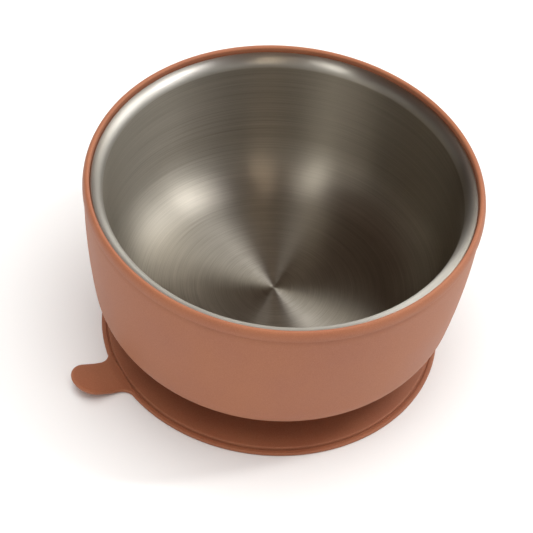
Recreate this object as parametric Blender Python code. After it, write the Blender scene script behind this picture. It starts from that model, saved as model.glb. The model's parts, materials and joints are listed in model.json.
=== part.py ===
"""Suction bowl: a steel bowl in a silicone sleeve, on a suction pad with a pull tab.

Metres, +Z up. The pad's underside lies at z = 0. The tab points to -X, and the bowl's axis stands
a little to +X of the origin, so that the origin is the middle of the whole object's footprint.
Every turned piece is described by an outline of (radius, height) points around that axis.
"""
import math

import bmesh
import bpy

MM = 0.001

# ---- driving dimensions ---------------------------------------------------------------------
SEGMENTS = 60                      # flats around each turned piece
GAP = 0.3 * MM                     # clearance between neighbouring pieces

RIM_RADIUS = 62.5 * MM             # silicone lip, the widest place
HEIGHT = 67.0 * MM                 # table to the crest of the lip
LIP_THICKNESS = 2.1 * MM
LIP_BEAD_HEIGHT = 3.7 * MM         # crest down to the small step on the outside
LIP_STEP = 0.5 * MM

OUTER_BOTTOM = 11.0 * MM           # underside of the sleeve
OUTER_CORNER_RADIUS = 16.5 * MM    # the curve from the wall to the underside
OUTER_FLAT_RADIUS = 41.5 * MM      # where that curve ends
OUTER_LEAN = math.radians(10.5)    # the wall's lean where it meets that curve

STEEL_THICKNESS = 0.7 * MM
FLOOR_HEIGHT = 18.5 * MM           # inside floor of the steel bowl
FLOOR_RADIUS = 36.0 * MM           # its flat part
STEEL_CORNER_RADIUS = 18.0 * MM
STEEL_LEAN = math.radians(8.0)
STEEL_MOUTH_RADIUS = 56.2 * MM     # inside radius just under the rolled rim
STEEL_MOUTH_HEIGHT = 62.0 * MM
ROLL_RADIUS = 3.4 * MM             # the rim's outward roll, on its visible side

PAD_RADIUS = 54.5 * MM
PAD_LIP_THICKNESS = 1.2 * MM       # thin edge of the pad
PAD_LIP_WIDTH = 1.6 * MM
PAD_STEP_TOP = 2.0 * MM            # the top face starts here, inside the thin edge
PAD_RING_INNER = 49.0 * MM         # flat contact ring on the underside
DOME_DEPTH = 3.2 * MM              # hollow under the pad
STEM_RADIUS = 21.0 * MM
STEM_FOOT_RADIUS = 23.0 * MM
STEM_FOOT_HEIGHT = 8.0 * MM
PAD_EDGE_SLOPE = math.radians(5.0)

TAB_LENGTH = 15.5 * MM
TAB_HALF_WIDTH = 6.5 * MM
TAB_ROOT_HALF_WIDTH = 10.5 * MM
TAB_FILLET = 4.0 * MM              # how far out the widened root reaches
TAB_THICKNESS = 1.4 * MM
TAB_UNDERSIDE = 0.15 * MM          # the root's height off the table
TAB_CURL_RADIUS = 16.0 * MM
TAB_CURL = math.radians(20.0)      # the tongue's upward lean

STEEL_COLOUR = (0.24, 0.21, 0.19)
SILICONE_COLOUR = (0.40, 0.16, 0.08)

# ---- worked out from them -------------------------------------------------------------------
TAB_ROOT_RADIUS = PAD_RADIUS + GAP
TAB_REACH = (
    TAB_ROOT_RADIUS
    + TAB_CURL_RADIUS * math.sin(TAB_CURL)
    + (TAB_LENGTH - TAB_CURL_RADIUS * TAB_CURL) * math.cos(TAB_CURL)
)
AXIS_X = (TAB_REACH - RIM_RADIUS) / 2
STEM_TOP = OUTER_BOTTOM - GAP
TAB_PIVOT_HEIGHT = TAB_UNDERSIDE + TAB_THICKNESS


# ---- outlines -------------------------------------------------------------------------------
def arc(centre, radius, start, end, steps):
    """Points on an arc; angles are in radians, from the +radius direction towards +height."""
    points = []
    for step in range(steps + 1):
        angle = start + (end - start) * step / steps
        points.append((centre[0] + radius * math.cos(angle), centre[1] + radius * math.sin(angle)))
    return points


class BowlCurve:
    """Flat floor, corner arc and a long, slightly bulging wall arc that ends at a mouth point.

    `face(offset)` gives the curve moved outwards by `offset`, so that the two sides of a wall and
    the clearance around it all come from the same arcs.
    """

    def __init__(self, flat_radius, bottom, corner_radius, lean, mouth):
        self.bottom = bottom
        self.corner_radius = corner_radius
        self.corner_centre = (flat_radius, bottom + corner_radius)
        self.lean = lean
        start = (
            self.corner_centre[0] + corner_radius * math.cos(lean),
            self.corner_centre[1] - corner_radius * math.sin(lean),
        )
        chord = (mouth[0] - start[0], mouth[1] - start[1])
        chord_lean = math.atan2(chord[0], chord[1])
        self.mouth_lean = 2 * chord_lean - lean
        self.wall_radius = math.hypot(*chord) / (2 * math.sin((lean - self.mouth_lean) / 2))
        self.wall_centre = (
            start[0] - self.wall_radius * math.cos(lean),
            start[1] + self.wall_radius * math.sin(lean),
        )

    def face(self, offset=0.0, corner_steps=6, wall_steps=3):
        corner = arc(
            self.corner_centre, self.corner_radius + offset, -math.pi / 2, -self.lean, corner_steps
        )
        wall = arc(
            self.wall_centre, self.wall_radius + offset, -self.lean, -self.mouth_lean, wall_steps
        )
        return [(0.0, self.bottom - offset)] + corner + wall[1:]


LIP_FOOT = HEIGHT - LIP_BEAD_HEIGHT
OUTER_CURVE = BowlCurve(
    OUTER_FLAT_RADIUS,
    OUTER_BOTTOM,
    OUTER_CORNER_RADIUS,
    OUTER_LEAN,
    (RIM_RADIUS - LIP_STEP, LIP_FOOT),
)
STEEL_CURVE = BowlCurve(
    FLOOR_RADIUS,
    FLOOR_HEIGHT,
    STEEL_CORNER_RADIUS,
    STEEL_LEAN,
    (STEEL_MOUTH_RADIUS, STEEL_MOUTH_HEIGHT),
)
LIP_INNER_RADIUS = RIM_RADIUS - LIP_THICKNESS
ROLL_CENTRE = (
    STEEL_MOUTH_RADIUS + ROLL_RADIUS * math.cos(STEEL_CURVE.mouth_lean),
    STEEL_MOUTH_HEIGHT - ROLL_RADIUS * math.sin(STEEL_CURVE.mouth_lean),
)


def roll(offset, steps=4):
    """The rim's outward roll, `offset` beyond the visible side of the steel."""
    start = math.pi - STEEL_CURVE.mouth_lean
    return arc(ROLL_CENTRE, ROLL_RADIUS - offset, start, math.pi / 2, steps)


def steel_outline():
    edge_radius = LIP_INNER_RADIUS - GAP
    visible = STEEL_CURVE.face() + roll(0.0)[1:]
    hidden = STEEL_CURVE.face(STEEL_THICKNESS) + roll(STEEL_THICKNESS)[1:]
    edge = [(edge_radius, visible[-1][1]), (edge_radius, hidden[-1][1])]
    return visible + edge + hidden[::-1]


def sleeve_outline():
    clearance = STEEL_THICKNESS + GAP
    seat = STEEL_CURVE.face(clearance) + roll(clearance)[1:]
    crest_radius = LIP_THICKNESS / 2
    crest_centre = (RIM_RADIUS - crest_radius, HEIGHT - crest_radius)
    lip = (
        [(LIP_INNER_RADIUS, seat[-1][1])]
        + arc(crest_centre, crest_radius, math.pi, 0.0, 6)
        + [(RIM_RADIUS - 0.1 * MM, LIP_FOOT + LIP_STEP)]
    )
    outside = OUTER_CURVE.face()[::-1]
    return seat + lip + outside


def pad_outline():
    dome_radius = (PAD_RING_INNER**2 + DOME_DEPTH**2) / (2 * DOME_DEPTH)
    half_angle = math.asin(PAD_RING_INNER / dome_radius)
    dome = arc(
        (0.0, DOME_DEPTH - dome_radius), dome_radius, math.pi / 2, math.pi / 2 - half_angle, 4
    )
    round_edge = PAD_LIP_THICKNESS / 2
    edge = arc((PAD_RADIUS - round_edge, round_edge), round_edge, -math.pi / 2, math.pi / 2, 4)
    step_radius = PAD_RADIUS - PAD_LIP_WIDTH
    step = [(step_radius, PAD_LIP_THICKNESS), (step_radius - 0.3 * MM, PAD_STEP_TOP)]
    top = rising_arc(step[-1], PAD_EDGE_SLOPE, (STEM_FOOT_RADIUS, STEM_FOOT_HEIGHT), 5)
    stem = [(STEM_RADIUS, STEM_FOOT_HEIGHT + 1.2 * MM), (STEM_RADIUS, STEM_TOP), (0.0, STEM_TOP)]
    return dome + edge + step + top[1:] + stem


def rising_arc(start, slope, end, steps):
    """An arc running inwards from `start`, first at `slope` and then ever steeper, to `end`."""
    run, rise = start[0] - end[0], end[1] - start[1]
    chord_slope = math.atan2(rise, run)
    turn = 2 * (chord_slope - slope)
    radius = math.hypot(run, rise) / (2 * math.sin(turn / 2))
    centre = (start[0] + radius * math.sin(slope), start[1] + radius * math.cos(slope))
    first = -math.pi / 2 - slope
    return arc(centre, radius, first, first - turn, steps)


# ---- meshes ---------------------------------------------------------------------------------
def make_material(name, colour, roughness, metallic):
    material = bpy.data.materials.new(name)
    material.use_nodes = True
    shader = material.node_tree.nodes["Principled BSDF"]
    shader.inputs["Base Color"].default_value = (*colour, 1.0)
    shader.inputs["Roughness"].default_value = roughness
    shader.inputs["Metallic"].default_value = metallic
    return material


def add_object(name, mesh_builder, material, parent):
    bmesh.ops.recalc_face_normals(mesh_builder, faces=mesh_builder.faces)
    mesh = bpy.data.meshes.new(name)
    mesh_builder.to_mesh(mesh)
    mesh_builder.free()
    mesh.materials.append(material)
    mesh.shade_smooth()
    mesh.set_sharp_from_angle(angle=math.radians(35))
    piece = bpy.data.objects.new(name, mesh)
    bpy.context.collection.objects.link(piece)
    piece.parent = parent
    return piece


def turn(outline):
    """Turn a closed outline, whose first and last points lie on the axis, into a closed mesh."""
    builder = bmesh.new()
    rings = []
    for radius, height in outline:
        if radius == 0.0:
            rings.append([builder.verts.new((0.0, 0.0, height))])
            continue
        ring = []
        for index in range(SEGMENTS):
            angle = 2 * math.pi * index / SEGMENTS
            ring.append(
                builder.verts.new((radius * math.cos(angle), radius * math.sin(angle), height))
            )
        rings.append(ring)
    for ring, following in zip(rings, rings[1:]):
        for index in range(SEGMENTS):
            after = (index + 1) % SEGMENTS
            if len(ring) == 1:
                corners = (ring[0], following[index], following[after])
            elif len(following) == 1:
                corners = (ring[index], following[0], ring[after])
            else:
                corners = (ring[index], following[index], following[after], ring[after])
            builder.faces.new(corners)
    return builder


def tab_half_width(reach):
    """Half the tongue's width, `reach` out from its root: widened root, straight, round tip."""
    tip_centre = TAB_LENGTH - TAB_HALF_WIDTH
    if reach > tip_centre:
        return math.sqrt(max(0.0, TAB_HALF_WIDTH**2 - (reach - tip_centre) ** 2))
    if reach < TAB_FILLET:
        along = 1.0 - reach / TAB_FILLET
        flare = 1.0 - math.sqrt(1.0 - along**2)
        return TAB_HALF_WIDTH + (TAB_ROOT_HALF_WIDTH - TAB_HALF_WIDTH) * flare
    return TAB_HALF_WIDTH


def tab_point(reach, side, level):
    """A point of the tongue from its pivot: `level` is the height above its top face at rest."""
    turned = min(reach / TAB_CURL_RADIUS, TAB_CURL)
    straight = max(0.0, reach - TAB_CURL_RADIUS * TAB_CURL)
    out = TAB_CURL_RADIUS * math.sin(turned) + straight * math.cos(TAB_CURL)
    up = TAB_CURL_RADIUS * (1.0 - math.cos(turned)) + straight * math.sin(TAB_CURL)
    hollow = TAB_ROOT_RADIUS - math.sqrt(TAB_ROOT_RADIUS**2 - side**2)
    fade = max(0.0, 1.0 - reach / TAB_FILLET)
    return (
        -(out - level * math.sin(turned)) + hollow * fade,
        side,
        up + level * math.cos(turned),
    )


def tab_builder():
    tip_centre = TAB_LENGTH - TAB_HALF_WIDTH
    reaches = [TAB_FILLET * step / 4 for step in range(5)] + [tip_centre]
    reaches += [tip_centre + TAB_HALF_WIDTH * math.sin(math.radians(a)) for a in (20, 40, 58, 72, 81)]
    across = (-1.0, -0.5, 0.0, 0.5, 1.0)
    builder = bmesh.new()
    layers = []
    for level in (0.0, -TAB_THICKNESS):
        rows = []
        for reach in reaches:
            half = tab_half_width(reach)
            rows.append([builder.verts.new(tab_point(reach, share * half, level)) for share in across])
        layers.append(rows)
    for rows in layers:
        for row, following in zip(rows, rows[1:]):
            for index in range(len(across) - 1):
                builder.faces.new((row[index], row[index + 1], following[index + 1], following[index]))
    top, under = layers
    for index in range(len(across) - 1):
        for row in (0, -1):
            builder.faces.new(
                (top[row][index], top[row][index + 1], under[row][index + 1], under[row][index])
            )
    for row in range(len(reaches) - 1):
        for side in (0, -1):
            builder.faces.new(
                (top[row][side], top[row + 1][side], under[row + 1][side], under[row][side])
            )
    return builder


# ---- assembly -------------------------------------------------------------------------------
def add_axis(name, location):
    axis = bpy.data.objects.new(name, None)
    axis.location = location
    axis.empty_display_size = 10 * MM
    bpy.context.collection.objects.link(axis)
    return axis


def main():
    for thing in list(bpy.data.objects):
        bpy.data.objects.remove(thing, do_unlink=True)
    steel = make_material("brushed stainless steel", STEEL_COLOUR, 0.3, 1.0)
    sleeve_silicone = make_material("sleeve silicone", SILICONE_COLOUR, 0.6, 0.0)
    pad_silicone = make_material("pad silicone", SILICONE_COLOUR, 0.6, 0.0)
    tab_silicone = make_material("tab silicone", SILICONE_COLOUR, 0.6, 0.0)

    bowl_axis = add_axis("bowl_axis", (AXIS_X, 0.0, 0.0))
    tab_pivot = add_axis("tab_pivot", (AXIS_X - TAB_ROOT_RADIUS, 0.0, TAB_PIVOT_HEIGHT))

    add_object("suction_pad", turn(pad_outline()), pad_silicone, bowl_axis)
    add_object("silicone_sleeve", turn(sleeve_outline()), sleeve_silicone, bowl_axis)
    add_object("steel_bowl", turn(steel_outline()), steel, bowl_axis)
    add_object("pull_tab", tab_builder(), tab_silicone, tab_pivot)


main()
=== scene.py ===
"""Suction bowl, finished: spun-brushed steel bowl, silicone sleeve, suction pad and pull tab.

Metres, +Z up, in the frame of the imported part. Outlines are (radius, height) points around the
bowl's axis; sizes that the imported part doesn't state are given below in millimetres.
"""
import json
import math

import bmesh
import bpy
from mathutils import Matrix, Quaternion, Vector


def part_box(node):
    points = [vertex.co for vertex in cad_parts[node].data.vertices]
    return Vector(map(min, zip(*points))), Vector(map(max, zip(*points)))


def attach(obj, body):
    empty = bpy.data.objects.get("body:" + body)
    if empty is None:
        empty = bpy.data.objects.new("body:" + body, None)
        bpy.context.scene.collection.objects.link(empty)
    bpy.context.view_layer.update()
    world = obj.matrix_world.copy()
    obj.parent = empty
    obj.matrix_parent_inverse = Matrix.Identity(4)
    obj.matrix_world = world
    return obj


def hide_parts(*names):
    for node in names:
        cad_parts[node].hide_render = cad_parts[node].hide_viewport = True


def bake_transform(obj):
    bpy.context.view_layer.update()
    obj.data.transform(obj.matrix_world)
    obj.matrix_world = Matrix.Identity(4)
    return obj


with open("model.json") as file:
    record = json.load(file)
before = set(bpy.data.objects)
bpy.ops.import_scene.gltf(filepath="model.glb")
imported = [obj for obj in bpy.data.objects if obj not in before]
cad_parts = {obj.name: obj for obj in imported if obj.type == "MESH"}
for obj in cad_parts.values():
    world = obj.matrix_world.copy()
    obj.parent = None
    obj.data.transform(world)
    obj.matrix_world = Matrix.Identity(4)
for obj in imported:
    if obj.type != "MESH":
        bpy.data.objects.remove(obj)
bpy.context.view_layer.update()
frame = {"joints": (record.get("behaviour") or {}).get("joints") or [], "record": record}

MM = 0.001
SEGMENTS = 240                     # flats around each turned piece
GAP = 0.3 * MM                     # clearance round the loose steel bowl

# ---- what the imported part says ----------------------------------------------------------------
sleeve_low, sleeve_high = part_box("silicone_sleeve")
steel_low, steel_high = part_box("steel_bowl")
pad_low, pad_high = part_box("suction_pad")
tab_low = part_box("pull_tab")[0]
mounts = {mount["name"]: mount for mount in frame["record"]["mounts"]}
joints = {joint["name"]: joint for joint in frame["joints"]}

AXIS_X = (sleeve_low.x + sleeve_high.x) / 2
RIM_RADIUS = (sleeve_high.x - sleeve_low.x) / 2
HEIGHT = sleeve_high.z
OUTER_BOTTOM = sleeve_low.z
FLOOR_HEIGHT = mounts["bowl_floor"]["pos_m"][2]
STEEL_THICKNESS = FLOOR_HEIGHT - steel_low.z
FLANGE_RADIUS = (steel_high.x - steel_low.x) / 2
PAD_RADIUS = (pad_high.x - pad_low.x) / 2
TAB_PIVOT = Vector(joints["tab_flex"]["pos_m"])
TAB_HALF_WIDTH = 6.5 * MM
TAB_REACH = AXIS_X - tab_low.x

# ---- sizes of the turned pieces ---------------------------------------------------------------
OUTER_CORNER_RADIUS = 16.5 * MM
OUTER_FLAT_RADIUS = 41.5 * MM
OUTER_LEAN = math.radians(10.5)
LIP_THICKNESS = 2.1 * MM
LIP_FOOT = HEIGHT - 3.7 * MM
LIP_STEP = 0.5 * MM                # the wall starts this far inside the lip's foot
LIP_INNER_ROUND = 0.8 * MM
LIP_SHOULDER = (1.3 * MM, 2.7 * MM)  # width and height of the lip's outer curve
FLOOR_RADIUS = 36.0 * MM
STEEL_CORNER_RADIUS = 18.0 * MM
STEEL_LEAN = math.radians(8.0)
MOUTH = (56.2 * MM, 62.0 * MM)
ROLL_RADIUS = 3.4 * MM
PAD_LIP_THICKNESS = 1.2 * MM       # thin edge of the pad
PAD_LIP_WIDTH = 1.5 * MM           # edge to the foot of the step that the top starts with
GROOVE_FLOOR = 0.75 * MM           # the dark line round that foot
PAD_STEP_TOP = 1.95 * MM
PAD_SLOPE = math.radians(5)
DOME_DEPTH = 3.2 * MM              # hollow under the pad
RING_INNER = 49.0 * MM             # flat contact ring on the underside
STEM_RADIUS = 21.0 * MM
STEM_FOOT = (23.5 * MM, 7.6 * MM)  # radius and height where the pad's top meets the stem
STEM_OVERLAP = 0.4 * MM            # the stem runs on into the sleeve, so that no seam shows


# ---- outlines ---------------------------------------------------------------------------------
def arc(centre, radii, start, end, steps):
    """Points on an arc of a circle or ellipse; angles in radians from +radius towards +height."""
    across, up = radii if isinstance(radii, tuple) else (radii, radii)
    return [
        (
            centre[0] + across * math.cos(start + (end - start) * step / steps),
            centre[1] + up * math.sin(start + (end - start) * step / steps),
        )
        for step in range(steps + 1)
    ]


def soften(path, steps=6):
    """A path of (radius, height, fillet) points with a round of that radius at each corner."""
    points = []
    for index, (radius, height, fillet) in enumerate(path):
        here = Vector((radius, height))
        if not fillet:
            points.append((radius, height))
            continue
        back = (Vector(path[index - 1][:2]) - here).normalized()
        on = (Vector(path[index + 1][:2]) - here).normalized()
        half = back.angle(on) / 2
        reach = fillet / math.tan(half)
        centre = here + (back + on).normalized() * fillet / math.sin(half)
        first = here + back * reach - centre
        last = here + on * reach - centre
        sweep = first.angle_signed(last)
        for step in range(steps + 1):
            angle = -sweep * step / steps
            turned = Vector((
                first.x * math.cos(angle) - first.y * math.sin(angle),
                first.x * math.sin(angle) + first.y * math.cos(angle),
            ))
            points.append(tuple(centre + turned))
    return points


def bowl_curve(offset, flat_radius, bottom, corner_radius, lean, mouth):
    """Flat floor, corner arc and slightly bulging wall, `offset` outwards; and the mouth's lean."""
    corner = (flat_radius, bottom + corner_radius)
    start = (
        corner[0] + corner_radius * math.cos(lean),
        corner[1] - corner_radius * math.sin(lean),
    )
    chord = (mouth[0] - start[0], mouth[1] - start[1])
    mouth_lean = 2 * math.atan2(chord[0], chord[1]) - lean
    wall_radius = math.hypot(*chord) / (2 * math.sin((lean - mouth_lean) / 2))
    wall = (start[0] - wall_radius * math.cos(lean), start[1] + wall_radius * math.sin(lean))
    points = [(flat_radius * share, bottom - offset) for share in (0.0, 0.25, 0.5, 0.75)]
    points += arc(corner, corner_radius + offset, -math.pi / 2, -lean, 24)
    points += arc(wall, wall_radius + offset, -lean, -mouth_lean, 14)[1:]
    return points, mouth_lean


def steel_side(offset):
    """One side of the steel, `offset` outside its visible face, from the centre to the rim's roll."""
    points, lean = bowl_curve(
        offset, FLOOR_RADIUS, FLOOR_HEIGHT, STEEL_CORNER_RADIUS, STEEL_LEAN, MOUTH
    )
    roll = (MOUTH[0] + ROLL_RADIUS * math.cos(lean), MOUTH[1] - ROLL_RADIUS * math.sin(lean))
    return points + arc(roll, ROLL_RADIUS - offset, math.pi - lean, math.pi / 2, 14)[1:]


def steel_outline():
    seen, hidden = steel_side(0.0), steel_side(STEEL_THICKNESS)
    edge = [
        (*seen[-1], 0.0),
        (FLANGE_RADIUS, seen[-1][1], 0.25 * MM),
        (FLANGE_RADIUS, hidden[-1][1], 0.25 * MM),
        (*hidden[-1], 0.0),
    ]
    return seen[:-1] + soften(edge) + hidden[-2::-1]


def sleeve_outline():
    seat = steel_side(STEEL_THICKNESS + GAP)
    inner = RIM_RADIUS - LIP_THICKNESS
    crest = RIM_RADIUS - LIP_SHOULDER[0]
    lip_base = HEIGHT - LIP_INNER_ROUND
    shelf = [(*seat[-1], 0.0), (inner, seat[-1][1], 0.2 * MM), (inner, HEIGHT - 1.2 * MM, 0.0)]
    lip = arc((crest, lip_base), LIP_INNER_ROUND, math.pi, math.pi / 2, 8)
    lip += arc((crest, HEIGHT - LIP_SHOULDER[1]), LIP_SHOULDER, math.pi / 2, 0.0, 14)[1:]
    outside, _ = bowl_curve(
        0.0,
        OUTER_FLAT_RADIUS,
        OUTER_BOTTOM,
        OUTER_CORNER_RADIUS,
        OUTER_LEAN,
        (RIM_RADIUS - LIP_STEP, LIP_FOOT - 0.5 * MM),
    )
    foot = [
        (*lip[-1], 0.0),
        (RIM_RADIUS - 0.02 * MM, LIP_FOOT + 0.25 * MM, 0.25 * MM),
        (RIM_RADIUS - LIP_STEP - 0.12 * MM, LIP_FOOT, 0.2 * MM),
        (*outside[-1], 0.0),
    ]
    return seat[:-1] + soften(shelf)[:-1] + lip[:-1] + soften(foot) + outside[-2::-1]


def pad_outline():
    dome_radius = (RING_INNER**2 + DOME_DEPTH**2) / (2 * DOME_DEPTH)
    reach = math.asin((RING_INNER - 0.4 * MM) / dome_radius)
    dome = arc((0.0, DOME_DEPTH - dome_radius), dome_radius, math.pi / 2, math.pi / 2 - reach, 24)
    round_edge = PAD_LIP_THICKNESS / 2
    ring = [(*dome[-1], 0.0), (RING_INNER, 0.0, 0.6 * MM), (PAD_RADIUS - round_edge, 0.0, 0.0)]
    edge = arc((PAD_RADIUS - round_edge, round_edge), round_edge, -math.pi / 2, math.pi / 2, 12)
    step = PAD_RADIUS - PAD_LIP_WIDTH
    groove = [
        (*edge[-1], 0.0),
        (step + 0.15 * MM, PAD_LIP_THICKNESS, 0.2 * MM),
        (step - 0.1 * MM, GROOVE_FLOOR, 0.12 * MM),
        (step - 0.35 * MM, GROOVE_FLOOR, 0.12 * MM),
        (step - 0.45 * MM, PAD_STEP_TOP, 0.4 * MM),
    ]
    top = rising_arc((step - 1.2 * MM, PAD_STEP_TOP + 0.08 * MM), PAD_SLOPE, STEM_FOOT, 26)
    stem_top = OUTER_BOTTOM + STEM_OVERLAP
    stem = [
        (*top[-1], 0.0),
        (STEM_RADIUS, STEM_FOOT[1] + 1.1 * MM, 1.2 * MM),
        (STEM_RADIUS, stem_top - 0.9 * MM, 0.5 * MM),
        (STEM_RADIUS + 1.0 * MM, stem_top, 0.0),
    ]
    return (
        dome[:-1]
        + soften(ring)
        + edge[1:-1]
        + soften(groove + [(*top[0], 0.0)])[:-1]
        + top[:-1]
        + soften(stem)
        + [(0.0, stem_top)]
    )


def rising_arc(start, slope, end, steps):
    """An arc running inwards from `start`, first at `slope` and then ever steeper, to `end`."""
    run, rise = start[0] - end[0], end[1] - start[1]
    turn = 2 * (math.atan2(rise, run) - slope)
    radius = math.hypot(run, rise) / (2 * math.sin(turn / 2))
    centre = (start[0] + radius * math.sin(slope), start[1] + radius * math.cos(slope))
    first = -math.pi / 2 - slope
    return arc(centre, radius, first, first - turn, steps)


# ---- nodes ------------------------------------------------------------------------------------
NOISE_LOW, NOISE_HIGH = 0.3, 0.7   # nearly all of a noise texture's values lie between these


def add_node(tree, kind, inputs=None, **settings):
    """Adds a node with its settings; each input is a value or another node's output."""
    node = tree.nodes.new(kind)
    for name, value in settings.items():
        setattr(node, name, value)
    for key, value in (inputs or {}).items():
        if isinstance(value, bpy.types.NodeSocket):
            tree.links.new(value, node.inputs[key])
        else:
            node.inputs[key].default_value = value
    return node


def linear(hex_colour):
    """An sRGB hex colour as linear RGBA."""
    channels = [int(hex_colour[at:at + 2], 16) / 255 for at in (1, 3, 5)]
    return (*[c / 12.92 if c <= 0.04045 else ((c + 0.055) / 1.055) ** 2.4 for c in channels], 1.0)


def new_material(name):
    material = bpy.data.materials.new(name)
    material.use_nodes = True
    tree = material.node_tree
    return material, tree, tree.nodes["Principled BSDF"]


def place_on_axis(tree):
    """Object coordinates with the bowl's axis at x = 0."""
    coordinates = add_node(tree, "ShaderNodeTexCoord")
    centred = add_node(
        tree,
        "ShaderNodeMapping",
        {"Vector": coordinates.outputs["Object"], "Location": (-AXIS_X, 0.0, 0.0)},
    )
    return centred.outputs["Vector"]


def brushed_steel():
    """Spun-brushed 304 stainless: fine rings round the axis stretch each light into a streak that
    runs from the floor's centre up the wall. The rolled rim is finer and a little smoother, and
    painted lighter: a painted highlight for the bright reflection it shows."""
    material, tree, shader = new_material("spun-brushed stainless steel")
    place = place_on_axis(tree)
    flat = add_node(
        tree, "ShaderNodeVectorMath", {0: place, 1: (1.0, 1.0, 0.0)}, operation="MULTIPLY"
    )
    radius = add_node(tree, "ShaderNodeVectorMath", {0: flat.outputs[0]}, operation="LENGTH")
    outwards = add_node(tree, "ShaderNodeVectorMath", {0: flat.outputs[0]}, operation="NORMALIZE")
    around = add_node(
        tree,
        "ShaderNodeVectorMath",
        {0: (0.0, 0.0, 1.0), 1: outwards.outputs[0]},
        operation="CROSS_PRODUCT",
    )
    parts = add_node(tree, "ShaderNodeSeparateXYZ", {0: place})
    turned = add_node(tree, "ShaderNodeSeparateXYZ", {0: outwards.outputs[0]})
    # radius plus height grows all the way from the centre of the floor to the rim
    along = add_node(
        tree,
        "ShaderNodeMath",
        {0: radius.outputs["Value"], 1: parts.outputs["Z"]},
        operation="ADD",
    )
    on_ring = add_node(
        tree,
        "ShaderNodeCombineXYZ",
        {"X": along.outputs[0], "Y": turned.outputs["X"], "Z": turned.outputs["Y"]},
    )
    rings = []
    # real scratches are 0.05 mm apart; these are 0.25 and 1.3 mm so that they show
    for spacing, arcs in ((0.25 * MM, 1.3), (1.3 * MM, 0.8)):
        stretched = add_node(
            tree,
            "ShaderNodeVectorMath",
            {0: on_ring.outputs[0], 1: (1 / spacing, arcs, arcs)},
            operation="MULTIPLY",
        )
        noise = add_node(
            tree,
            "ShaderNodeTexNoise",
            {"Vector": stretched.outputs[0], "Scale": 1.0, "Detail": 3.0, "Roughness": 0.6},
        )
        rings.append(noise.outputs["Fac"])
    brushing = add_node(
        tree,
        "ShaderNodeMix",
        {"Factor": 0.25, "A": rings[0], "B": rings[1]},
        data_type="FLOAT",
    ).outputs["Result"]
    tone = add_node(tree, "ShaderNodeValToRGB", {"Fac": brushing})
    tone.color_ramp.elements[0].position = NOISE_LOW
    tone.color_ramp.elements[0].color = linear("#A39D92")
    tone.color_ramp.elements[1].position = NOISE_HIGH
    tone.color_ramp.elements[1].color = linear("#C0BAAF")
    roughness = add_node(
        tree,
        "ShaderNodeMapRange",
        {
            "Value": brushing,
            "From Min": NOISE_LOW,
            "From Max": NOISE_HIGH,
            "To Min": 0.38,
            "To Max": 0.46,
        },
    )
    # the roll is brushed more finely and a little smoother; its lighter colour is a painted
    # highlight, standing in for the bright reflection it shows
    on_roll = add_node(
        tree,
        "ShaderNodeMapRange",
        {
            "Value": parts.outputs["Z"],
            "From Min": MOUTH[1] - 0.3 * MM,
            "From Max": MOUTH[1] + 0.4 * MM,
        },
    )
    polished = add_node(
        tree,
        "ShaderNodeMix",
        {"Factor": on_roll.outputs[0], "A": roughness.outputs[0], "B": 0.38},
        data_type="FLOAT",
    )
    # painted highlight: the roll is painted lighter than the steel's own tone
    tone_with_painted_rim_highlight = add_node(
        tree,
        "ShaderNodeMix",
        {"Factor": on_roll.outputs[0], "A": tone.outputs["Color"], "B": linear("#D3D0C9")},
        data_type="RGBA",
    )
    bump = add_node(
        tree,
        "ShaderNodeBump",
        {"Height": brushing, "Strength": 0.12, "Distance": 0.02 * MM},
    )
    shader.inputs["Metallic"].default_value = 1.0
    shader.inputs["Anisotropic"].default_value = 0.92
    # a quarter turn lays the streaks across the scratches
    shader.inputs["Anisotropic Rotation"].default_value = 0.25
    tree.links.new(around.outputs[0], shader.inputs["Tangent"])
    tree.links.new(tone_with_painted_rim_highlight.outputs["Result"], shader.inputs["Base Color"])
    tree.links.new(polished.outputs["Result"], shader.inputs["Roughness"])
    tree.links.new(bump.outputs["Normal"], shader.inputs["Normal"])
    return material


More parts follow.
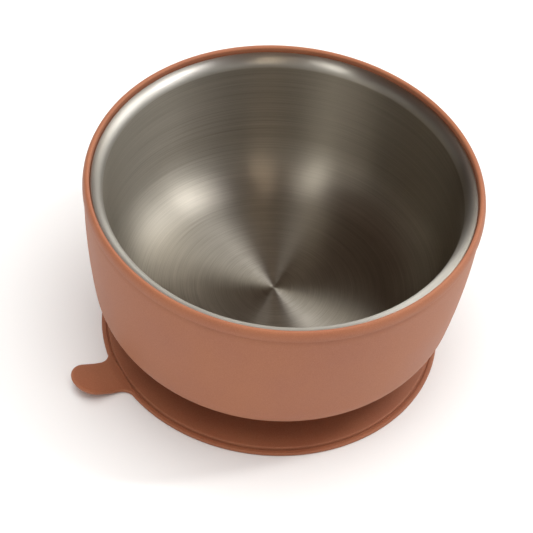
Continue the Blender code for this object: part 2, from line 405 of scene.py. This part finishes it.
def moulded_silicone():
    """Compression-moulded silicone from a blasted mould: dense terracotta with a dry, powdery
    face, no sharp highlights and a faint bloom at grazing angles."""
    material, tree, shader = new_material("moulded silicone, matte terracotta")
    place = place_on_axis(tree)
    # the mould's blasting is 0.1 mm grain, drawn at 0.35 mm so that it shows
    grain = add_node(
        tree,
        "ShaderNodeTexNoise",
        {"Vector": place, "Scale": 1 / (0.35 * MM), "Detail": 2.0, "Roughness": 0.6},
    )
    # pigment and bloom vary over about 25 mm
    cloud = add_node(
        tree,
        "ShaderNodeTexNoise",
        {"Vector": place, "Scale": 1 / (25 * MM), "Detail": 3.0, "Roughness": 0.55},
    )
    tone = add_node(tree, "ShaderNodeValToRGB", {"Fac": cloud.outputs["Fac"]})
    tone.color_ramp.elements[0].position = NOISE_LOW
    tone.color_ramp.elements[0].color = linear("#995B3E")
    tone.color_ramp.elements[1].position = NOISE_HIGH
    tone.color_ramp.elements[1].color = linear("#A06343")
    specks = add_node(
        tree,
        "ShaderNodeMapRange",
        {"Value": grain.outputs["Fac"], "From Min": 0.35, "From Max": 0.75, "To Max": 0.16},
    )
    speckled = add_node(
        tree,
        "ShaderNodeMix",
        {"Factor": specks.outputs[0], "A": tone.outputs["Color"], "B": linear("#D69474")},
        data_type="RGBA",
    )
    roughness = add_node(
        tree,
        "ShaderNodeMapRange",
        {
            "Value": cloud.outputs["Fac"],
            "From Min": NOISE_LOW,
            "From Max": NOISE_HIGH,
            "To Min": 0.52,
            "To Max": 0.62,
        },
    )
    bump = add_node(
        tree,
        "ShaderNodeBump",
        {"Height": grain.outputs["Fac"], "Strength": 0.2, "Distance": 0.03 * MM},
    )
    shader.inputs["IOR"].default_value = 1.41
    shader.inputs["Sheen Weight"].default_value = 0.08
    shader.inputs["Sheen Roughness"].default_value = 0.5
    shader.inputs["Sheen Tint"].default_value = linear("#F6D6C6")
    tree.links.new(speckled.outputs["Result"], shader.inputs["Base Color"])
    tree.links.new(roughness.outputs[0], shader.inputs["Roughness"])
    tree.links.new(bump.outputs["Normal"], shader.inputs["Normal"])
    return material


# ---- turned pieces ----------------------------------------------------------------------------
def turning_tree():
    """Geometry nodes that turn an outline, point by point, into a closed piece round its axis."""
    tree = bpy.data.node_groups.new("turn an outline", "GeometryNodeTree")
    for name, kind in (
        ("Outline", "NodeSocketGeometry"),
        ("Segments", "NodeSocketInt"),
        ("Axis", "NodeSocketVector"),
        ("Merge Distance", "NodeSocketFloat"),
        ("Finish", "NodeSocketMaterial"),
    ):
        tree.interface.new_socket(name=name, in_out="INPUT", socket_type=kind)
    tree.interface.new_socket(name="Piece", in_out="OUTPUT", socket_type="NodeSocketGeometry")
    given = add_node(tree, "NodeGroupInput").outputs
    count = add_node(
        tree, "GeometryNodeAttributeDomainSize", {0: given["Outline"]}
    ).outputs["Point Count"]
    around = add_node(tree, "ShaderNodeMath", {0: given["Segments"], 1: 1.0}, operation="ADD")
    grid = add_node(
        tree,
        "GeometryNodeMeshGrid",
        {"Vertices X": count, "Vertices Y": around.outputs[0], "Size X": 1.0, "Size Y": 1.0},
    )
    mapped = add_node(
        tree,
        "GeometryNodeStoreNamedAttribute",
        {"Geometry": grid.outputs["Mesh"], "Name": "OFBake"},
        data_type="FLOAT2",
        domain="CORNER",
    )
    # the store node has one Value socket per data type, so the link goes to the live one
    live = next(s for s in mapped.inputs if s.name == "Value" and s.enabled)
    # u runs round the axis, the way the brushing does
    flat = add_node(tree, "ShaderNodeSeparateXYZ", {0: grid.outputs["UV Map"]})
    swapped = add_node(
        tree, "ShaderNodeCombineXYZ", {"X": flat.outputs["Y"], "Y": flat.outputs["X"]}
    )
    tree.links.new(swapped.outputs[0], live)
    index = add_node(tree, "GeometryNodeInputIndex").outputs[0]
    row = add_node(tree, "ShaderNodeMath", {0: index, 1: around.outputs[0]}, operation="DIVIDE")
    ring = add_node(tree, "ShaderNodeMath", {0: row.outputs[0]}, operation="FLOOR").outputs[0]
    step = add_node(tree, "ShaderNodeMath", {0: index, 1: around.outputs[0]}, operation="MODULO")
    share = add_node(
        tree, "ShaderNodeMath", {0: step.outputs[0], 1: given["Segments"]}, operation="DIVIDE"
    )
    angle = add_node(
        tree, "ShaderNodeMath", {0: share.outputs[0], 1: 2 * math.pi}, operation="MULTIPLY"
    ).outputs[0]
    point = add_node(
        tree,
        "GeometryNodeSampleIndex",
        {"Geometry": given["Outline"], "Index": ring},
        data_type="FLOAT_VECTOR",
        domain="POINT",
    )
    live = next(s for s in point.inputs if s.name == "Value" and s.enabled)
    tree.links.new(add_node(tree, "GeometryNodeInputPosition").outputs[0], live)
    turned = add_node(
        tree,
        "ShaderNodeVectorRotate",
        {
            "Vector": next(s for s in point.outputs if s.enabled),
            "Center": (0.0, 0.0, 0.0),
            "Axis": (0.0, 0.0, 1.0),
            "Angle": angle,
        },
        rotation_type="AXIS_ANGLE",
    )
    placed = add_node(
        tree,
        "ShaderNodeVectorMath",
        {0: turned.outputs[0], 1: given["Axis"]},
        operation="ADD",
    )
    moved = add_node(
        tree,
        "GeometryNodeSetPosition",
        {"Geometry": mapped.outputs[0], "Position": placed.outputs[0]},
    )
    closed = add_node(
        tree,
        "GeometryNodeMergeByDistance",
        {"Geometry": moved.outputs[0], "Distance": given["Merge Distance"]},
    )
    smooth = add_node(tree, "GeometryNodeSetShadeSmooth", {"Geometry": closed.outputs[0]})
    real = add_node(tree, "GeometryNodeRealizeInstances", {"Geometry": smooth.outputs[0]})
    finished = add_node(
        tree,
        "GeometryNodeSetMaterial",
        {"Geometry": real.outputs[0], "Material": given["Finish"]},
    )
    out = add_node(tree, "NodeGroupOutput", {0: finished.outputs[0]})
    out.is_active_output = True
    return tree


def add_piece(name, mesh):
    piece = bpy.data.objects.new(name, mesh)
    bpy.context.scene.collection.objects.link(piece)
    return piece


def face_outwards(mesh):
    """Recalculates the faces of a closed mesh so that they point outwards."""
    builder = bmesh.new()
    builder.from_mesh(mesh)
    bmesh.ops.recalc_face_normals(builder, faces=builder.faces)
    if builder.calc_volume(signed=True) < 0:
        bmesh.ops.reverse_faces(builder, faces=builder.faces)
    builder.to_mesh(mesh)
    builder.free()


def turn(name, outline, tree, finish):
    """Turns a closed outline, whose ends lie on the axis, into a finished piece."""
    mesh = bpy.data.meshes.new(name + " outline")
    mesh.from_pydata([(radius, 0.0, height) for radius, height in outline], [], [])
    blank = add_piece(name + " blank", mesh)
    modifier = blank.modifiers.new("turn", "NODES")
    modifier.node_group = tree
    values = {
        "Segments": SEGMENTS,
        "Axis": (AXIS_X, 0.0, 0.0),
        "Merge Distance": 0.002 * MM,
        "Finish": finish,
    }
    for item in tree.interface.items_tree:
        if item.item_type == "SOCKET" and item.name in values:
            modifier[item.identifier] = values[item.name]
    graph = bpy.context.evaluated_depsgraph_get()
    solid = bpy.data.meshes.new_from_object(blank.evaluated_get(graph), depsgraph=graph)
    blank.modifiers.remove(modifier)
    bpy.data.objects.remove(blank)
    solid.name = name
    # the outline came with one empty slot
    solid.materials.clear()
    solid.materials.append(finish)
    face_outwards(solid)
    return add_piece(name, solid)


# ---- pull tab ---------------------------------------------------------------------------------
TAB_EDGE = 0.55 * MM               # round on the tongue's edges
TAB_FILLET = 4.0 * MM
TAB_ROOT = 53.25 * MM              # the tongue starts here, at the foot of the pad's step
TAB_CURL_RADIUS = 16.0 * MM
TAB_CURL = math.radians(20.0)
TAB_CURL_START = AXIS_X - TAB_PIVOT.x
TAB_UNDERSIDE = 0.15 * MM
TAB_TUCK = 0.12 * MM               # the root's ends start this far inside the pad's edge
TAB_WRAP = math.radians(1.6)       # and run this far round it
TAB_ROOT_UNDERSIDE = 0.02 * MM     # inside the pad's edge the root fills nearly its thickness
TAB_ROOT_PROUD = 0.03 * MM
TAB_ROOT_END = TAB_CURL_START + 1.2 * MM


def tab_edge():
    """One side of the tongue's plan, root to tip, as (outwards, sideways, normal out, normal side):
    round the pad's edge, a hollow fillet, the straight side and the round tip."""
    hug = PAD_RADIUS - TAB_TUCK
    centre_side = TAB_HALF_WIDTH + TAB_FILLET
    centre_out = math.sqrt((hug + TAB_FILLET) ** 2 - centre_side**2)
    touch = math.atan2(centre_side, centre_out)
    points = []
    for step in range(3):
        angle = touch + TAB_WRAP * (1 - step / 3)
        normal = (math.cos(angle), math.sin(angle))
        points.append((hug * normal[0], hug * normal[1], *normal))
    for step in range(15):
        angle = touch + (math.pi / 2 - touch) * step / 14
        normal = (math.cos(angle), math.sin(angle))
        points.append(
            (centre_out - TAB_FILLET * normal[0], centre_side - TAB_FILLET * normal[1], *normal)
        )
    tip = tab_tip() - TAB_HALF_WIDTH
    for step in range(1, 9):
        points.append((centre_out + (tip - centre_out) * step / 8, TAB_HALF_WIDTH, 0.0, 1.0))
    for step in range(1, 25):
        angle = math.pi / 2 * (1 - step / 24)
        normal = (math.cos(angle), math.sin(angle))
        points.append((tip + TAB_HALF_WIDTH * normal[0], TAB_HALF_WIDTH * normal[1], *normal))
    return points


def tab_tip():
    """How far the flat tongue reaches from the axis, so that, curled, its tip is at TAB_REACH."""
    curled = TAB_CURL_RADIUS * math.sin(TAB_CURL)
    straight = (TAB_REACH - TAB_CURL_START - curled) / math.cos(TAB_CURL)
    return TAB_CURL_START + TAB_CURL_RADIUS * TAB_CURL + straight


def tab_place(out, side, level):
    """A point of the tongue; `level` runs from 0 on its underside to 1 on its top."""
    blend = min(1.0, max(0.0, (out - TAB_ROOT) / (TAB_ROOT_END - TAB_ROOT)))
    blend = blend * blend * (3 - 2 * blend)
    under = TAB_ROOT_UNDERSIDE + (TAB_UNDERSIDE - TAB_ROOT_UNDERSIDE) * blend
    top = PAD_LIP_THICKNESS + TAB_ROOT_PROUD
    top += (TAB_PIVOT.z - top) * blend
    height = under + (top - under) * level
    reach = out - TAB_CURL_START
    turned = min(max(reach, 0.0) / TAB_CURL_RADIUS, TAB_CURL)
    straight = max(0.0, reach - TAB_CURL_RADIUS * TAB_CURL)
    depth = height - TAB_PIVOT.z
    forward = min(reach, 0.0) + TAB_CURL_RADIUS * math.sin(turned) + straight * math.cos(TAB_CURL)
    up = TAB_CURL_RADIUS * (1 - math.cos(turned)) + straight * math.sin(TAB_CURL)
    return (
        AXIS_X - (TAB_CURL_START + forward - depth * math.sin(turned)),
        side,
        TAB_PIVOT.z + up + depth * math.cos(turned),
    )


def pull_tab(finish):
    """The tongue: a round band along its edge, and a top and an underside across it."""
    edge = tab_edge()
    builder = bmesh.new()
    band_steps = 8
    sides = []
    for hand in (1, -1):
        loops = []
        for out, side, normal_out, normal_side in edge:
            loop = []
            for step in range(band_steps + 1):
                angle = math.pi / 2 - math.pi * step / band_steps
                inset = TAB_EDGE * (1 - math.cos(angle))
                share = 0.5 + 0.5 * math.sin(angle)
                at_side = max(0.0, side - inset * normal_side)
                loop.append((out - inset * normal_out, hand * at_side, share))
            loops.append(loop)
        sides.append(loops)
    across = 12
    left, right = sides
    rows = []
    for l_loop, r_loop in zip(left, right):
        top_l, top_r = l_loop[0], r_loop[0]
        low_l, low_r = l_loop[-1], r_loop[-1]
        row = [builder.verts.new(tab_place(*p)) for p in l_loop]
        row += [
            builder.verts.new(tab_place(
                low_l[0] + (low_r[0] - low_l[0]) * step / across,
                low_l[1] + (low_r[1] - low_l[1]) * step / across,
                0.0,
            ))
            for step in range(1, across)
        ]
        row += [builder.verts.new(tab_place(*p)) for p in r_loop[::-1]]
        row += [
            builder.verts.new(tab_place(
                top_r[0] + (top_l[0] - top_r[0]) * step / across,
                top_r[1] + (top_l[1] - top_r[1]) * step / across,
                1.0,
            ))
            for step in range(1, across)
        ]
        rows.append(row)
    for row, following in zip(rows, rows[1:]):
        for index in range(len(row)):
            after = (index + 1) % len(row)
            builder.faces.new((row[index], row[after], following[after], following[index]))
    builder.faces.new(rows[0])
    bmesh.ops.remove_doubles(builder, verts=builder.verts, dist=0.002 * MM)
    bmesh.ops.dissolve_degenerate(builder, edges=builder.edges, dist=0.0005 * MM)
    mesh = bpy.data.meshes.new("pull_tab")
    builder.to_mesh(mesh)
    builder.free()
    face_outwards(mesh)
    mesh.shade_smooth()
    mesh.materials.append(finish)
    return add_piece("tongue", mesh)


# ---- the pieces and what they ride on ---------------------------------------------------------
steel = brushed_steel()
silicone = moulded_silicone()
tree = turning_tree()

bowl = turn("steel_liner", steel_outline(), tree, steel)
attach(bowl, "steel")
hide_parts("steel_bowl")

sleeve = turn("outer_sleeve", sleeve_outline(), tree, silicone)
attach(sleeve, "sleeve")
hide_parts("silicone_sleeve")

pad = turn("pad_and_stem", pad_outline(), tree, silicone)
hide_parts("suction_pad")
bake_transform(pad)

tab = pull_tab(silicone)
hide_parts("pull_tab")
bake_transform(tab)


# ---- floor, light and camera ------------------------------------------------------------------
CAMERA_AZIMUTH = math.radians(-32)
CAMERA_ELEVATION = math.radians(47.2)
CAMERA_DISTANCE = 0.917
CAMERA_ROLL = math.radians(6.2)
AIM_HEIGHT = 30 * MM
FLOOR_SIZE = 8.0


def from_bowl(azimuth, elevation, distance, target):
    """A point seen from the bowl at that azimuth from the camera's side, and elevation."""
    turned = CAMERA_AZIMUTH + azimuth
    return target + distance * Vector((
        math.sin(turned) * math.cos(elevation),
        -math.cos(turned) * math.cos(elevation),
        math.sin(elevation),
    ))


def aim(thing, target, roll=0.0):
    thing.rotation_mode = "QUATERNION"
    towards = (target - thing.location).to_track_quat("-Z", "Y")
    thing.rotation_quaternion = towards @ Quaternion((0.0, 0.0, 1.0), roll)


def place_round(thing, azimuth, elevation, distance):
    """Puts a light or a card `azimuth` degrees round to the right of the camera, facing the bowl."""
    target = Vector((AXIS_X, 0.0, 40 * MM))
    thing.location = from_bowl(math.radians(azimuth), math.radians(elevation), distance, target)
    aim(thing, target)


def soft_light(name, azimuth, elevation, distance, size, strength, gloss=True):
    """A soft white panel; without `gloss` it lights the bowl but isn't mirrored in the steel."""
    lamp = bpy.data.lights.new(name, "AREA")
    lamp.shape = "RECTANGLE"
    lamp.size, lamp.size_y = size
    lamp.energy = strength
    panel = bpy.data.objects.new(name, lamp)
    place_round(panel, azimuth, elevation, distance)
    panel.visible_camera = False
    panel.visible_glossy = gloss
    bpy.context.scene.collection.objects.link(panel)


def sheet(name, width, height, finish):
    """A flat rectangle round the origin, facing up."""
    x, y = width / 2, height / 2
    mesh = bpy.data.meshes.new(name)
    mesh.from_pydata([(-x, -y, 0), (x, -y, 0), (x, y, 0), (-x, y, 0)], [], [(0, 1, 2, 3)])
    mesh.materials.append(finish)
    piece = add_piece(name, mesh)
    return piece


def card(name, azimuth, elevation, distance, size, colour, strength):
    """A plain card that only shows in reflections; it throws no light and no shadow."""
    finish = bpy.data.materials.new(name)
    finish.use_nodes = True
    nodes = finish.node_tree
    nodes.nodes.clear()
    glow = add_node(nodes, "ShaderNodeEmission", {"Color": linear(colour), "Strength": strength})
    add_node(nodes, "ShaderNodeOutputMaterial", {0: glow.outputs[0]})
    board = sheet(name, *size, finish)
    place_round(board, azimuth, elevation, distance)
    board.visible_camera = board.visible_diffuse = board.visible_shadow = False


def studio():
    paper, _, shader = new_material("matte white paper")
    shader.inputs["Base Color"].default_value = linear("#F8F7F5")
    shader.inputs["Roughness"].default_value = 0.9
    shader.inputs["Specular IOR Level"].default_value = 0.1
    sheet("floor", FLOOR_SIZE, FLOOR_SIZE, paper)

    world = bpy.data.worlds.new("studio")
    world.use_nodes = True
    sky = world.node_tree
    sky.nodes.clear()
    path = add_node(sky, "ShaderNodeLightPath").outputs
    # white fill for the matte silicone and the floor, a dim warm room for the steel to mirror
    fill = add_node(sky, "ShaderNodeBackground", {"Color": linear("#FFFFFF"), "Strength": 0.46})
    room = add_node(sky, "ShaderNodeBackground", {"Color": linear("#A97E68"), "Strength": 0.16})
    backdrop = add_node(sky, "ShaderNodeBackground", {"Color": linear("#FCFBFA")})
    lit = add_node(
        sky,
        "ShaderNodeMixShader",
        {0: path["Is Glossy Ray"], 1: fill.outputs[0], 2: room.outputs[0]},
    )
    mixed = add_node(
        sky,
        "ShaderNodeMixShader",
        {0: path["Is Camera Ray"], 1: lit.outputs[0], 2: backdrop.outputs[0]},
    )
    add_node(sky, "ShaderNodeOutputWorld", {0: mixed.outputs[0]})
    bpy.context.scene.world = world

    soft_light("key panel", 97, 57, 1.1, (0.05, 0.4), 3.0)
    soft_light("overhead panel", 0, 88, 1.5, (1.6, 1.6), 24.0, gloss=False)
    soft_light("window panel", 118, 40, 1.1, (0.5, 0.5), 0.5, gloss=False)
    card("window card", 116, 43, 1.1, (0.45, 0.5), "#FFFFFF", 3.4)
    card("second window card", 143, 47, 1.1, (0.4, 0.35), "#FFFBF2", 2.4)
    card("front card", -24, 54, 1.2, (0.2, 0.9), "#F4F1EA", 3.6)
    card("front strip", 21, 54, 1.2, (0.03, 0.9), "#FFE9CC", 9.0)
    # white walls all round light the rolled rim; those to the left stay dim
    for side, strength in enumerate((0.4, 0.5, 0.75, 0.75, 1.5, 0.0, 0.15, 0.3)):
        card(f"wall {side}", 45 * side, 18, 1.6, (1.35, 1.1), "#FFFDF8", strength)


def camera():
    lens = bpy.data.cameras.new("camera")
    lens.lens = 195.0
    lens.clip_start, lens.clip_end = 0.01, 20.0
    viewer = bpy.data.objects.new("camera", lens)
    viewer.location = from_bowl(
        0.0, CAMERA_ELEVATION, CAMERA_DISTANCE, Vector((AXIS_X, 0.0, AIM_HEIGHT))
    )
    aim(viewer, Vector((0.0, 0.0, AIM_HEIGHT)), CAMERA_ROLL)
    bpy.context.scene.collection.objects.link(viewer)
    bpy.context.scene.camera = viewer


studio()
camera()
bpy.context.scene.view_settings.view_transform = "Standard"
